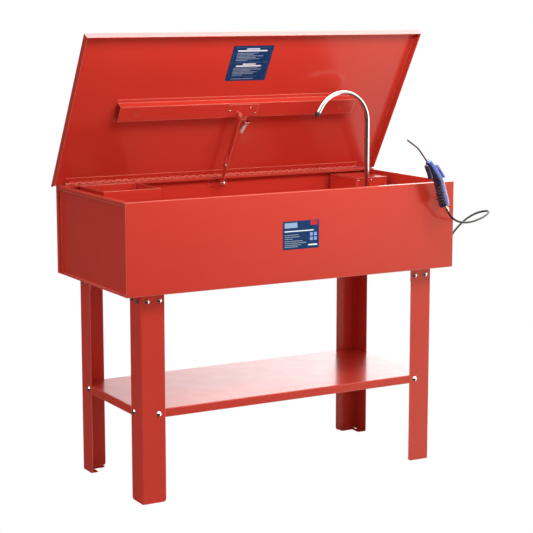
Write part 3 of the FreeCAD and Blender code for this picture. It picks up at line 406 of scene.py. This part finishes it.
GUN_Y = sum(c[1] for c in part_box("gun_body")) / 2
GRIP_FOOT = Vector((0.5125, GUN_Y, 0.8545))
GRIP_HEAD = Vector((0.4870, GUN_Y, 0.9390))
BARREL_TOP = Vector((0.4455, GUN_Y, 1.0030))
GRIP_STEPS = 44
RIBS_START, RIBS_END, RIBS_SPAN = 0.18, 0.88, 0.70
RIB_COUNT = 6
RIB_HEIGHT = 0.0015
# Share of the way up the barrel, half width and half depth.
BARREL_RINGS = ((0.12, 0.0172, 0.0125), (0.3, 0.0165, 0.0120), (0.5, 0.0150, 0.0115), (0.7, 0.0132, 0.0108),
                (0.86, 0.0118, 0.0102), (0.96, 0.0108, 0.0096), (1.0, 0.0096, 0.0086))


def in_plane_side(along):
    return Vector((along.z, 0, -along.x)).normalized()


def swept_rings(spine, half_depth, depth_step, squareness):
    """Rings across a spine of (x, z, half width) points; the depth grows by depth_step at each."""
    rings = []
    for k, (x, z, half_side) in enumerate(spine):
        before = spine[max(0, k - 1)]
        after = spine[min(len(spine) - 1, k + 1)]
        along = Vector((after[0] - before[0], 0, after[1] - before[1])).normalized()
        rings.append(oval_ring(Vector((x, GUN_Y, z)), along, in_plane_side(along), half_side,
                               half_depth + depth_step * k, 16, squareness))
    return rings


def make_gun_body():
    """Ribbed grip that runs on into the bent barrel."""
    along = (GRIP_HEAD - GRIP_FOOT).normalized()
    side = in_plane_side(along)
    rings = []
    for k in range(GRIP_STEPS + 1):
        t = k / GRIP_STEPS
        ribbed = RIBS_START < t < RIBS_END
        rib = RIB_HEIGHT * math.cos((t - RIBS_START) / RIBS_SPAN * 2 * math.pi * RIB_COUNT) if ribbed else 0.0
        swell = 0.0008 * math.sin(math.pi * t)
        foot = 0.0022 * max(0.0, 1 - t / 0.04)
        half_side = 0.0172 - 0.0004 * t + swell + rib - foot
        rings.append(oval_ring(GRIP_FOOT.lerp(GRIP_HEAD, t), along, side, half_side,
                               0.0128 + rib * 0.6 - foot, squareness=2.5))
    barrel = (BARREL_TOP - GRIP_HEAD).normalized()
    barrel_side = in_plane_side(barrel)
    for t, half_side, half_depth in BARREL_RINGS:
        blend = min(1.0, t / 0.3)
        turned_side = side.lerp(barrel_side, blend).normalized()
        turned_along = along.lerp(barrel, blend).normalized()
        rings.append(oval_ring(GRIP_HEAD.lerp(BARREL_TOP, t), turned_along, turned_side, half_side,
                               half_depth))
    body = loft("gun_moulding", rings, MATERIALS["gun_blue"])
    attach(body, "root")
    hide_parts("gun_body")
    make_gun_hook()
    make_gun_head()
    make_trigger_cheeks()


def make_gun_hook():
    """Swept fin under the barrel that ends in the hanging hook, painted dark as shade."""
    spine = [(0.4370, 0.9930, 0.0075), (0.4440, 0.9800, 0.0085), (0.4530, 0.9640, 0.0095),
             (0.4560, 0.9520, 0.0100), (0.4560, 0.9440, 0.0098)]
    hook = loft("gun_hook", swept_rings(spine, 0.0068, 0.0, 3.0), MATERIALS["gun_painted_shade"])
    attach(hook, "root")


def make_gun_head():
    """Pale collar where the nozzle enters the barrel."""
    along = (BARREL_TOP - GRIP_HEAD).normalized()
    side = in_plane_side(along)
    profile = ((-0.004, 0.0060), (-0.002, 0.0068), (0.002, 0.0068), (0.004, 0.0058), (0.0045, 0.0040))
    rings = [oval_ring(BARREL_TOP + along * step, along, side, radius, radius, 20, 2.0)
             for step, radius in profile]
    collar = loft("gun_collar", rings, MATERIALS["gun_blue_light"])
    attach(collar, "root")


def make_trigger_cheeks():
    """Two ears on the barrel that hold the trigger's pin."""
    along = Vector((0.7, 0, 0.7)).normalized()
    profile = ((0.4700, 0.9790, 0.0050), (0.4740, 0.9830, 0.0072), (0.4785, 0.9865, 0.0058),
               (0.4815, 0.9890, 0.0026))
    for name, offset in (("trigger_cheek_front", -0.0064), ("trigger_cheek_back", 0.0064)):
        rings = [oval_ring(Vector((x, GUN_Y + offset, z)), along, in_plane_side(along), half, 0.0018, 14, 2.4)
                 for x, z, half in profile]
        cheek = loft(name, rings, MATERIALS["gun_blue"])
        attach(cheek, "root")


def make_trigger():
    """Curved lever on the outer side of the gun."""
    spine = [(0.4755, 0.9885, 0.0034), (0.4800, 0.9860, 0.0040), (0.4860, 0.9800, 0.0036),
             (0.4930, 0.9705, 0.0031), (0.4990, 0.9615, 0.0029), (0.5045, 0.9530, 0.0030),
             (0.5075, 0.9475, 0.0030)]
    lever = loft("trigger_lever", swept_rings(spine, 0.0060, 0.0006, 3.2), MATERIALS["gun_blue_light"])
    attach(lever, "trigger")
    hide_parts("gun_trigger")


# ---- Coil spring of the lid stay ------------------------------------------------------------
LID_TILT = math.radians(59.5)
COIL_LENGTH = 0.036
COIL_RADIUS = 0.0062
COIL_WIRE_RADIUS = 0.0010
COIL_TURNS = 8
COIL_STEPS = COIL_TURNS * 16
COIL_INSET = 0.0070
COIL_LID_SHARE = 0.97


def make_spring():
    """Coil in the space of the CAD's sleeve, from its upper right down to its lower left."""
    low, high = (Vector(c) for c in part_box("stay_spring"))
    lean = (low.x + COIL_INSET) - (high.x - COIL_INSET)
    run = COIL_LENGTH * COIL_LID_SHARE
    axis = Vector((lean, math.cos(LID_TILT) * run, -math.sin(LID_TILT) * run)).normalized()
    start = (low + high) / 2 - axis * COIL_LENGTH / 2
    side = axis.cross(Vector((1, 0, 0))).normalized()
    other = axis.cross(side).normalized()
    curve = bpy.data.curves.new("stay_coil", "CURVE")
    curve.dimensions = "3D"
    curve.bevel_depth = COIL_WIRE_RADIUS
    curve.bevel_resolution = 3
    curve.use_fill_caps = True
    spline = curve.splines.new("POLY")
    spline.points.add(COIL_STEPS)
    for k in range(COIL_STEPS + 1):
        angle = 2 * math.pi * COIL_TURNS * k / COIL_STEPS
        around = (side * math.cos(angle) + other * math.sin(angle)) * COIL_RADIUS
        spline.points[k].co = (*(start + axis * (COIL_LENGTH * k / COIL_STEPS) + around), 1.0)
    coil = link(bpy.data.objects.new("stay_coil", curve))
    curve.materials.append(MATERIALS["chrome"])
    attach(coil, "lid")
    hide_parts("stay_spring")


# ---- Studio ---------------------------------------------------------------------------------
FLOOR_REACH = 2.4
EVEN_GLOW = 0.30
CEILING = 6.5
LEFT_WALL = 0.06
BACK_WALL = (0.25, 3.1)
FRONT_WALL = (0.02, 1.9)
WARM_TINT = (1.0, 0.95, 0.76, 1)


def make_floor():
    """White sweep: pure white to the camera, ordinary matt white to every other ray."""
    mesh = bpy.data.meshes.new("floor")
    r = FLOOR_REACH
    mesh.from_pydata([(-r, -r, 0), (r, -r, 0), (r, r, 0), (-r, r, 0)], [], [(0, 1, 2, 3)])
    n = Nodes("studio_floor")
    n.set(Base_Color=n.mix(n.noise(1.5, 2.0), rgba(0.84, 0.84, 0.84), rgba(0.88, 0.88, 0.88)), Roughness=0.8)
    glow = n.add("Emission", {"Color": rgba(1, 1, 1), "Strength": 1.0}).outputs[0]
    seen = n.add("LightPath").outputs["Is Camera Ray"]
    blend = n.add("MixShader", {0: seen, 1: n.shader.outputs[0], 2: glow}).outputs[0]
    n.put(n.tree.nodes["Material Output"].inputs["Surface"], blend)
    floor = mesh_object("floor", mesh, n.material, smooth=False)
    floor.visible_glossy = False


def area_light(name, place, aim, size, power):
    """Soft box that shiny surfaces don't show: they mirror the room of make_world."""
    data = bpy.data.lights.new(name, "AREA")
    data.shape = "RECTANGLE"
    data.size, data.size_y = size
    data.energy = power
    light = link(bpy.data.objects.new(name, data))
    light.visible_glossy = False
    light.location = place
    light.rotation_euler = (Vector(aim) - Vector(place)).to_track_quat("-Z", "Y").to_euler()


def make_world():
    """White to the camera, an even glow for soft light, and a room with bright walls for reflections."""
    world = bpy.data.worlds.new("studio")
    bpy.context.scene.world = world
    world.use_nodes = True
    tree = world.node_tree
    background = tree.nodes["Background"]

    def node(kind, **inputs):
        made = tree.nodes.new("ShaderNode" + kind)
        for key, value in inputs.items():
            socket = made.inputs[key.replace("_", " ")]
            if isinstance(value, bpy.types.NodeSocket):
                tree.links.new(value, socket)
            else:
                socket.default_value = value
        return made

    def ramp(value, low, high, to_low, to_high):
        made = node("MapRange", Value=value, From_Min=low, From_Max=high, To_Min=to_low, To_Max=to_high)
        made.interpolation_type = "SMOOTHSTEP"
        return made.outputs["Result"]

    def blend(factor, a, b):
        return node("MapRange", Value=factor, To_Min=a, To_Max=b).outputs["Result"]

    way = node("SeparateXYZ", Vector=tree.nodes.new("ShaderNodeTexCoord").outputs["Generated"])
    x, y = way.outputs["X"], way.outputs["Y"]
    behind = ramp(x, 0.26, 0.60, *BACK_WALL)
    in_front = ramp(x, 0.40, 0.66, *FRONT_WALL)
    room = blend(ramp(y, -0.1, 0.1, 0.0, 1.0), in_front, behind)
    room = blend(ramp(x, -0.2, 0.1, 0.0, 1.0), LEFT_WALL, room)
    room = blend(ramp(way.outputs["Z"], 0.35, 0.75, 0.0, 1.0), room, CEILING)
    path = tree.nodes.new("ShaderNodeLightPath")
    strength = blend(path.outputs["Is Glossy Ray"], EVEN_GLOW, room)
    strength = blend(path.outputs["Is Camera Ray"], strength, 1.0)
    warmth = tree.nodes.new("ShaderNodeMix")
    warmth.data_type = "RGBA"
    warmth.inputs[6].default_value = (1, 1, 1, 1)
    warmth.inputs[7].default_value = WARM_TINT
    front_share = ramp(y, -0.5, -0.1, 1.0, 0.0)
    tree.links.new(blend(path.outputs["Is Glossy Ray"], 0.0, front_share), warmth.inputs[0])
    tree.links.new(warmth.outputs[2], background.inputs["Color"])
    tree.links.new(strength, background.inputs["Strength"])


def make_studio():
    make_world()
    middle = (0, 0, 0.8)
    area_light("key", (1.0, -4.6, 1.2), (0, 0, 0.9), (3.0, 1.6), 37)
    area_light("left", (-4.2, -1.0, 2.0), middle, (2.0, 2.0), 48)
    area_light("top", (0.3, -0.8, 3.6), middle, (2.5, 2.0), 18)
    area_light("over_tank", (0.1, -0.95, 1.85), (0.1, 0.25, 1.02), (1.6, 0.4), 20)
    bpy.context.scene.view_settings.view_transform = "Standard"


make_camera()
make_hose()
dress_cad_nodes()
make_gun_body()
make_trigger()
make_spring()
make_floor()
make_studio()
